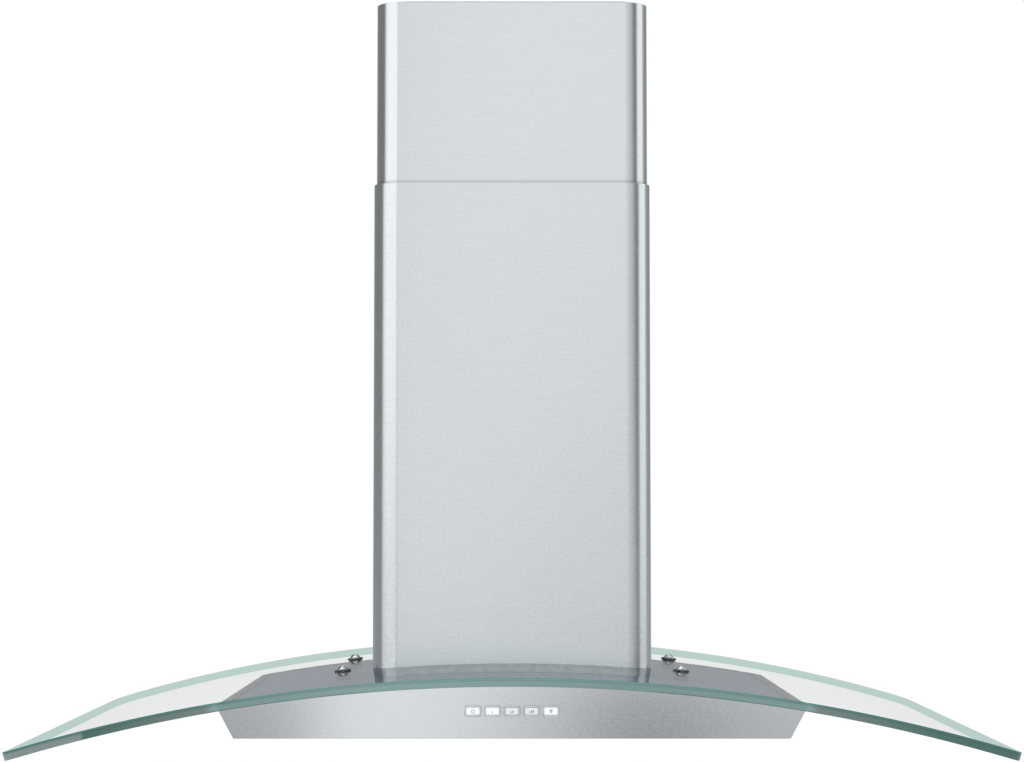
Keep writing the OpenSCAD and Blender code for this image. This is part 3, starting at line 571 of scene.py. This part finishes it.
# What each of the record's material slots looks like on the CAD nodes that stay.
SLOT_MATERIALS = {
    "brushed": panel_steel, "zinc": zinc, "fastener": plated, "dark_screw": dark_screw,
    "polished": polished, "shaft": shaft_steel, "motor": motor_paint, "wheel": wheel_plastic,
    "black_plastic": black_plastic, "white_plastic": white_plastic, "glass": glass_clear,
    "gasket": gasket_rubber, "button_rim": rim_plastic, "button": cap_lit, "board": board_mask,
    "cable": cable_rubber, "lens": lens_glass, "lamp": lamp_metal, "aluminium": aluminium,
    "mesh": mesh_metal, "latch": plated,
}
for row in frame["record"]["subparts"]:
    node_mesh = frame["nodes"][row["node"]].data
    node_mesh.materials.clear()
    node_mesh.materials.append(SLOT_MATERIALS[row["material_slot"]])
frame["nodes"]["top_plate"].data.materials[0] = plate_paint_and_reflection
frame["nodes"]["bottom_panel"].data.materials[0] = flat_steel


# ---------- chimney covers ----------


def cover(name, node, radius, follows_glass):
    """Folded sheet cover with rounded rims, round upright corners and a fine joint down its back."""
    low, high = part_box(node)
    w, d, t = high.x - low.x, high.y - low.y, SHEET_T
    rim = 0.3 * MM
    bend = rim * 0.3
    glass_gap, foot_rim = 0.03 * MM, 0.1
    corner_steps, front_steps = 14, 12
    joint = [(0.5 * MM, 0), (0.25 * MM, 0.35 * MM), (-0.25 * MM, 0.35 * MM), (-0.5 * MM, 0)]

    def ring(inset):
        """The cover's outline, moved in by inset; the joint is a groove in its outer face only."""
        r = radius - inset
        x, y = w / 2 - radius, d / 2 - radius
        points = []
        corners = ((1, 1, 0), (-1, 1, 90), (-1, -1, 180), (1, -1, 270))
        for k, (cx, cy, start) in enumerate(corners):
            for i in range(corner_steps + 1):
                a = math.radians(start + 90 * i / corner_steps)
                points.append((cx * x + r * math.cos(a), cy * y + r * math.sin(a)))
            if k == 0:
                points += [(px, d / 2 - inset - (dip if inset == 0 else 0)) for px, dip in joint]
            if k == 2:
                points += [(-x + 2 * x * i / front_steps, -d / 2 + inset) for i in range(1, front_steps)]
        return points

    insets = [0, bend, rim, t - rim, t - bend, t]
    drops = [rim, bend, 0, 0, bend, rim]
    levels = [(inset, "top", drop) for inset, drop in zip(insets, drops)]
    levels += [(inset, "foot", drop) for inset, drop in zip(reversed(insets), reversed(drops))]
    rings = []
    for inset, end, drop in levels:
        points = ring(inset)
        if end == "top":
            rings.append([(px, py, high.z - drop) for px, py in points])
        elif follows_glass:
            rings.append([(px, py, arc_z(px) + glass_gap + drop * foot_rim) for px, py in points])
        else:
            rings.append([(px, py, low.z + drop) for px, py in points])
    count = len(rings[0])
    verts = [v for r in rings for v in r]
    faces = []
    for a in range(len(rings)):
        b = (a + 1) % len(rings)
        for i in range(count):
            j = (i + 1) % count
            faces.append((a * count + i, b * count + i, b * count + j, a * count + j))
    obj = mesh_object(name, verts, faces)
    with editing(obj.data) as work:
        bmesh.ops.recalc_face_normals(work, faces=work.faces)
    return smooth_with_flats(obj)


finish_piece(cover("upper_chimney_cover", "upper_cover", 23.5 * MM, False),
             "ceiling", "brushed", upper_steel, "upper_cover")
finish_piece(cover("lower_chimney_cover", "lower_cover", 26 * MM, True),
             "hood", "brushed", chimney_steel, "lower_cover")


# ---------- glass ----------


def glass_sheet():
    """Flat sheet with rounded edges, cut-out and holes, sliced across and bent round the arc."""
    w, d = GLASS_HIGH.x - GLASS_LOW.x, GLASS_HIGH.y - GLASS_LOW.y
    outline = rounded_loop(w, d, 26 * MM, 12, front_r=10 * MM)
    cut_w, cut_d = 254 * MM, 204 * MM
    cut = rounded_loop(cut_w, cut_d, 12 * MM)
    hole_r = 6.8 * MM
    studs = [circle_loop(x, y, hole_r) for x in (-STUD_X, STUD_X) for y in (-STUD_Y, STUD_Y)]
    edge = 0.8 * MM
    obj = plate("glass_sheet", outline, [cut, *studs], GLASS_T, edge, 3)
    slices = 150
    inner = GLASS_T / 2 - 0.05 * MM
    # The materials' order. The cut-out's edge lies inside the chimney, and is clear like the underside.
    top, under, side = range(3)
    near_cut = 3 * MM
    with editing(obj.data) as work:
        for i in range(1, slices):
            geometry = work.verts[:] + work.edges[:] + work.faces[:]
            where = (-w / 2 + w * i / slices, 0, 0)
            bmesh.ops.bisect_plane(work, geom=geometry, dist=TINY, plane_co=where, plane_no=(1, 0, 0))
        for face in work.faces:
            z = [v.co.z for v in face.verts]
            at = face.calc_center_median()
            in_cut = abs(at.x) < cut_w / 2 + near_cut and abs(at.y) < cut_d / 2 + near_cut
            if min(z) > inner:
                face.material_index = top
            else:
                face.material_index = under if max(z) < -inner or in_cut else side
        for v in work.verts:
            r = GLASS_R + v.co.z - GLASS_T / 2
            tilt = math.asin(v.co.x / GLASS_R)
            v.co = (r * math.sin(tilt), v.co.y, ARC_MIDDLE + r * math.cos(tilt))
    return smooth_with_flats(obj)


finish_piece(glass_sheet(), "hood", "glass", [glass_clear, glass_under, glass_side], "glass_canopy")


WASHER_R = 8.1


def lobe(a, r):
    """Outline of the six-lobed washer: six round lobes on a round middle. Its bore stays round."""
    bore_limit = 5 * MM
    if r < bore_limit:
        return r
    reach, lobe_r, core = 5.6 * MM, 2.5 * MM, 6.2 * MM
    off = (a + math.pi / 6) % (math.pi / 3) - math.pi / 6
    side = reach * math.sin(off)
    out = core
    if abs(side) < lobe_r:
        out = reach * math.cos(off) + math.sqrt(lobe_r * lobe_r - side * side)
    return max(out, core) * r / (WASHER_R * MM)


def glass_fittings():
    """Four lobed washers and four domed screws, square to the glass. Profiles are in millimetres."""
    washer = [(3.1, 0), (7.7, 0), (WASHER_R, 0.4), (WASHER_R, 1.3), (7.6, 1.8), (5.8, 1.9), (3.1, 1.9)]
    dome_r, dome_h, seat, steps = 5.5, 4.0, 1.8, 12
    ball = (dome_r ** 2 + dome_h ** 2) / (2 * dome_h)
    sweep = math.asin(dome_r / ball)
    screw = []
    for i in range(steps + 1):
        a = sweep * i / steps
        screw.append((ball * math.sin(a), seat + dome_h - ball + ball * math.cos(a)))
    screw += [(5.3, 1.7), (3, 1.7), (3, -18), (2.6, -18.4), (0, -18.4)]
    washers = []
    screws = []
    for x in (-STUD_X, STUD_X):
        for y in (-STUD_Y, STUD_Y):
            washers.append(turned("washer", [(r * MM, z * MM) for r, z in washer], 96, lobe))
            screws.append(turned("screw", [(r * MM, z * MM) for r, z in screw], 48))
            for part in (washers[-1], screws[-1]):
                part.matrix_world = on_glass(x, y)
    bpy.context.view_layer.update()
    finish_piece(smooth_with_flats(joined("lobed_washers", washers)),
                 "hood", "polished", dark_chrome, "glass_washers")
    finish_piece(smooth_with_flats(joined("domed_screws", screws)),
                 "hood", "polished", polished, "glass_screws")


glass_fittings()


# ---------- steel body ----------


def facing_front(obj, y):
    """Turns a plate drawn in X and Y to stand upright with its middle at y, facing the front."""
    obj.data.transform(Matrix.Translation((0, y, 0)) @ Matrix.Rotation(math.radians(90), 4, "X"))
    return obj


def upright(name, node, y, holes=()):
    """Front or back panel: leaning sides, a curved top under the glass, thin rounded edges."""
    low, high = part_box(node)
    glass_gap = 0.3 * MM
    half_foot, half_top = 260 * MM, high.x
    steps = 48
    outline = [(-half_foot, low.z), (half_foot, low.z)]
    for i in range(steps + 1):
        x = half_top * math.cos(math.pi * i / steps)
        outline.append((x, arc_z(x, GLASS_R - GLASS_T - glass_gap)))
    return smooth_with_flats(facing_front(plate(name, outline, holes, SHEET_T, SHEET_EDGE), y))


def button_places():
    """Each button's number, with the middle of its box."""
    for i in range(1, BUTTONS + 1):
        low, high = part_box(f"button_{i}")
        yield i, (low + high) / 2


def moved(points, x, z):
    return [(px + x, pz + z) for px, pz in points]


def cut_loop(w, h, c, p):
    """Rectangle round the place p with its corners cut."""
    a, b = w / 2, h / 2
    corners = [(-a, c - b), (c - a, -b), (a - c, -b), (a, c - b)]
    corners += [(a, b - c), (a - c, b), (c - a, b), (-a, b - c)]
    return moved(corners, p.x, p.z)


FRONT_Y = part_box("front_panel")[0].y

# Width and height of what each button has: the panel's window, its rim, the rim's opening, the well in
# the block behind, and the cap.
WINDOW = (15.4 * MM, 10.2 * MM)
RIM = (15.2 * MM, 10 * MM)
OPENING = (12.8 * MM, 6.9 * MM)
WELL = (14.8 * MM, 8.9 * MM)
CAP = (12.2 * MM, 6.3 * MM)

windows = [cut_loop(*WINDOW, 1.6 * MM, p) for _, p in button_places()]
finish_piece(upright("front_face", "front_panel", FRONT_Y + SHEET_T / 2, windows),
             "hood", "brushed", panel_steel, "front_panel")
finish_piece(upright("back_face", "back_panel", -FRONT_Y - SHEET_T / 2),
             "hood", "brushed", panel_steel, "back_panel")
for node in ("end_panel_left", "end_panel_right"):
    finish_piece(softened(node, SHEET_EDGE), "hood", "brushed", panel_steel, node)


# ---------- buttons ----------


def button_rims():
    """Five thin raised rims on one moulded block behind the front panel."""
    edge = 0.3 * MM
    rim_y, rim_depth = 1 * MM, 4 * MM
    block_y, block_depth = 7.25 * MM, 8.5 * MM
    rims = []
    for _, p in button_places():
        opening = moved(rounded_loop(*OPENING, 0.9 * MM, 4), p.x, p.z)
        rim = plate("rim", cut_loop(*RIM, 1.7 * MM, p), [opening], rim_depth, edge)
        rims.append(facing_front(rim, FRONT_Y + rim_y))
    low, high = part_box("button_holder")
    middle = (low.z + high.z) / 2
    block = moved(rounded_loop(high.x - low.x, high.z - low.z, 2 * MM, 4), 0, middle)
    wells = [moved(rounded_loop(*WELL, 0.6 * MM, 3), p.x, p.z) for _, p in button_places()]
    back = plate("back", block, wells, block_depth, edge)
    rims.append(facing_front(back, FRONT_Y + block_y))
    bpy.context.view_layer.update()
    return smooth_with_flats(joined("button_rims", rims))


finish_piece(button_rims(), "hood", "button_rim", rim_plastic, "button_holder")


def ring_mark(r, width, steps=28, start=0.0, end=360.0):
    """Flat arc of a given width, as a closed outline."""
    angles = [math.radians(start + (end - start) * i / steps) for i in range(steps + 1)]
    outside = [((r + width / 2) * math.cos(a), (r + width / 2) * math.sin(a)) for a in angles]
    inside = [((r - width / 2) * math.cos(a), (r - width / 2) * math.sin(a)) for a in reversed(angles)]
    return outside + inside


def bar(x0, z0, x1, z1):
    return [(x0, z0), (x1, z0), (x1, z1), (x0, z1)]


def mark_outlines(i):
    """Plain symbols, up to 4 units across: a power ring, one to three speed bars, a lamp."""
    if i == 1:
        return [ring_mark(1.25, 0.34, start=125, end=415), bar(-0.17, 0.3, 0.17, 1.75)]
    if i == BUTTONS:
        rays = []
        for k in range(5):
            a = math.radians(36 * k + 18)
            rays.append([(1.25 * math.cos(a + s) * q, 1.25 * math.sin(a + s) * q)
                         for s, q in ((-0.1, 1), (0.1, 1), (0.07, 1.5), (-0.07, 1.5))])
        angles = [math.radians(t) for t in range(0, 181, 12)]
        dome = [(0.9 * math.cos(a), 0.9 * math.sin(a)) for a in angles]
        return [dome, bar(-0.9, -0.9, 0.9, -0.5), *rays]
    bars = []
    count = i - 1
    pitch, half_width = 1.3, 0.3
    for k in range(count):
        x = pitch * (k - (count - 1) / 2)
        bars.append(bar(-half_width + x, -1.1, half_width + x, -0.1 + 0.6 * k))
    return bars


def push_button(i, p):
    """A cap with rounded edges and a skirt behind the rim, and the symbol laid on its face."""
    low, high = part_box(f"button_{i}")
    cap_depth = 9.5 * MM
    skirt_y = 3.5 * MM
    unit = 1.25 * MM
    mark_y = 0.01 * MM
    face = moved(rounded_loop(*CAP, 0.9 * MM, 5), p.x, p.z)
    cap = facing_front(plate("cap", face, [], cap_depth, 0.8 * MM, 4), low.y + cap_depth / 2)
    lip = moved(rounded_loop(high.x - low.x, high.z - low.z, 0.4 * MM, 3), p.x, p.z)
    skirt = facing_front(plate("skirt", lip, [], 1 * MM, 0.1 * MM), FRONT_Y + skirt_y)
    bpy.context.view_layer.update()
    obj = smooth_with_flats(joined(f"button_cap_{i}", [cap, skirt]))
    finish_piece(obj, f"button_{i}", "button", cap_dim if i in DIM_BUTTONS else cap_lit, f"button_{i}")
    marks = []
    for outline in mark_outlines(i):
        shape = [(x * unit + p.x, z * unit + p.z) for x, z in outline]
        mark = plate("mark", shape, [], 0.06 * MM, 0.01 * MM, 1)
        marks.append(facing_front(mark, low.y - mark_y))
    bpy.context.view_layer.update()
    finish_piece(joined(f"button_mark_{i}", marks), f"button_{i}", "button", ink)


for i, p in button_places():
    push_button(i, p)


# ---------- lamps, underside and filters ----------


def lamp_bezels():
    """Four turned rings, each with a short tube up into the body. The profile is in millimetres."""
    low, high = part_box("lamp_bezels")
    r_out, r_in = 31, 23
    tube_out, tube_in, tube_top, lip_top = 27, 25, 13, 1.49
    reach_x, reach_y = high.x - r_out * MM, high.y - r_out * MM
    profile = [(r_in, 1.4), (r_in, 0.5), (r_in + 0.8, 0.1), (r_in + 2.2, 0), (r_out - 1.6, 0.15),
               (r_out - 0.4, 0.6), (r_out, 1.4), (r_out - 0.1, lip_top), (tube_out, lip_top),
               (tube_out, tube_top), (tube_in, tube_top), (tube_in, lip_top)]
    rings = []
    for x in (-reach_x, reach_x):
        for y in (-reach_y, reach_y):
            ring = turned("ring", [(r * MM, low.z + z * MM) for r, z in profile + profile[:1]], 64)
            ring.matrix_world = Matrix.Translation((x, y, 0))
            rings.append(ring)
    bpy.context.view_layer.update()
    return smooth_with_flats(joined("lamp_rings", rings))


finish_piece(lamp_bezels(), "hood", "polished", polished, "lamp_bezels")


def expanded_mesh(name, node):
    """Two layers of zigzag strands that meet in diamonds, the second layer shifted by half a cell."""
    low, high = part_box(node)
    cell_x, cell_y = 8 * MM, 4.2 * MM
    strand, depth, lean = 0.7 * MM, 0.5 * MM, 0.3 * MM
    swing = cell_y / 2 - strand * 0.3
    first_z, layer_step = 0.6, 2.6
    section = ((-strand / 2, 0), (strand / 2, lean), (strand / 2, lean + depth), (-strand / 2, depth))
    rows = int((high.y - low.y) / cell_y)
    cols = int((high.x - low.x) / (cell_x / 2))
    verts = []
    faces = []
    for layer in range(2):
        z = low.z + (first_z + layer_step * layer) * MM
        shift = layer * cell_y / 2
        for row in range(rows):
            y = low.y + (row + 0.5) * cell_y + shift
            if y + cell_y / 2 > high.y:
                continue
            base = len(verts)
            for c in range(cols + 1):
                x = low.x + c * cell_x / 2
                up = 1 if (c + row) % 2 else -1
                cy = y + up * swing
                verts += [(x, cy + dy, z + dz) for dy, dz in section]
            for c in range(cols):
                for k in range(4):
                    a, b = base + 4 * c + k, base + 4 * c + (k + 1) % 4
                    faces.append((a, b, b + 4, a + 4))
            faces.append(tuple(base + k for k in (3, 2, 1, 0)))
            faces.append(tuple(base + 4 * cols + k for k in range(4)))
    return mesh_object(name, verts, faces)


for side in ("left", "right"):
    finish_piece(expanded_mesh(f"{side}_expanded_mesh", f"filter_{side}_mesh"),
                 f"filter_{side}", "mesh", mesh_metal, f"filter_{side}_mesh")
    finish_piece(softened(f"filter_{side}_frame", 0.6 * MM),
                 f"filter_{side}", "aluminium", aluminium, f"filter_{side}_frame")
    finish_piece(softened(f"filter_{side}_latch", 0.3 * MM),
                 f"latch_{side}", "latch", plated, f"filter_{side}_latch")


# ---------- camera, light and stage ----------


def studio():
    """White to the camera, softboxes and dark flags to what mirrors them, and even light for the rest.

    The levels below go by direction, in degrees: azimuth 0 is behind the photo's camera, and + is to its
    right. In the photo's view the chimney mirrors round_level, which is for what is about level or higher,
    and the front panel mirrors panel_level, which is for what is a little lower.
    """
    world = bpy.data.worlds.new("studio")
    bpy.context.scene.world = world
    n = Nodes(world, "ShaderNodeOutputWorld")
    way = n.add("ShaderNodeSeparateXYZ")
    n.join(n.add("ShaderNodeTexCoord").outputs["Generated"], way.inputs[0])
    x, y, z = way.outputs
    azimuth = n.math("MULTIPLY", n.math("ARCTAN2", x, n.math("MULTIPLY", y, -1)), 180 / math.pi)
    elevation = n.math("MULTIPLY", n.math("ARCSINE", z), 180 / math.pi)
    round_level = n.curve(azimuth, [
        (-180, 0.67), (-164, 0.66), (-150, 0.25), (-120, 0.2), (-90, 0.2), (-82, 0.3), (-74, 1.0),
        (-64, 1.2), (-54, 1.28), (-18, 1.28), (-11, 0.92), (-2.6, 0.9), (-1.6, 0.98), (3, 1.0), (9, 0.94),
        (18, 0.78), (31, 0.66), (41, 0.5), (50, 0.27), (58, 0.2), (65, 0.36), (72, 1.0), (80, 1.09),
        (102, 1.09), (110, 0.5), (124, 0.3), (150, 0.28), (164, 0.66), (180, 0.67)])
    panel_level = n.curve(azimuth, [
        (-180, 0.5), (-30, 0.4), (-7.2, 0.4), (-5.7, 0.44), (-4.9, 0.9), (-3.5, 0.93), (-1.5, 0.85),
        (-0.3, 0.72), (1, 0.6), (2.1, 0.42), (2.7, 0.32), (3.7, 0.33), (4.7, 0.38), (6.5, 0.56), (30, 0.4),
        (180, 0.5)])
    below_level = n.curve(azimuth, [(-180, 0.3), (-90, 0.2), (-20, 0.52), (20, 0.6), (90, 0.2), (180, 0.3)])
    # How much of round_level there is over panel_level, then how much of below_level over both.
    height = n.curve(elevation, [
        (-90, 0.0), (-4.3, 0.0), (-3.5, 0.7), (-1, 0.8), (5, 0.95), (12, 1.0), (90, 1.0)])
    depth = n.curve(elevation, [(-90, 1.0), (-9, 1.0), (-7.4, 0.0), (90, 0.0)])

    overhead = n.curve(elevation, [
        (-90, 0.12), (-40, 0.12), (-20, 1.0), (16, 1.0), (26, 0.74), (50, 0.74), (68, 1.25), (90, 1.3)])
    level = n.mix(depth, n.mix(height, panel_level, round_level), below_level)
    path = n.add("ShaderNodeLightPath")
    glossy = n.add("ShaderNodeBackground")
    n.join(level, glossy.inputs["Color"])
    n.join(overhead, glossy.inputs["Strength"])
    even = n.add("ShaderNodeBackground", Color=(0.97, 0.98, 1, 1), Strength=0.75)
    white = n.add("ShaderNodeBackground", Color=(1, 1, 1, 1))
    light = n.mix_shaders(path.outputs["Is Glossy Ray"], even, glossy)
    n.done(n.mix_shaders(path.outputs["Is Camera Ray"], light, white))


def soft_light(name, place, target, size, power):
    light = bpy.data.lights.new(name, "AREA")
    light.shape = "DISK"
    light.size = size
    light.energy = power
    obj = link(bpy.data.objects.new(name, light))
    obj.location = place
    obj.rotation_euler = (Vector(target) - Vector(place)).to_track_quat("-Z", "Y").to_euler()
    obj.visible_glossy = False
    obj.visible_camera = False


def floor():
    """Pale floor 3 m under the glass, so that views from below see the hood's underside."""
    half, z = 12, GLASS_TOP - 3
    corners = [(-half, -half, z), (half, -half, z), (half, half, z), (-half, half, z)]
    obj = mesh_object("floor", corners, [(0, 1, 2, 3)])
    pale = moulded("pale_floor", (0.92, 0.92, 0.91), roughness=0.8, grain=60.0, mottle=0.1)
    obj.data.materials.append(pale)


def camera():
    """The photo's viewpoint: a little above the glass, in front of the middle, looking up 3.31 degrees."""
    data = bpy.data.cameras.new("camera")
    data.sensor_width = 36
    data.lens = 80.42
    obj = link(bpy.data.objects.new("camera", data))
    obj.location = (0, -2.3482, GLASS_TOP + 0.14585)
    obj.rotation_euler = (math.radians(93.31), 0, 0)
    bpy.context.scene.camera = obj


studio()
soft_light("key", (-1.6, -2.2, 1.2), (0, 0, -0.5), size=1.6, power=28)
soft_light("fill", (1.8, -1.2, 0.4), (0, 0, -0.5), size=1.4, power=10)
floor()
camera()
bpy.context.scene.view_settings.view_transform = "Standard"
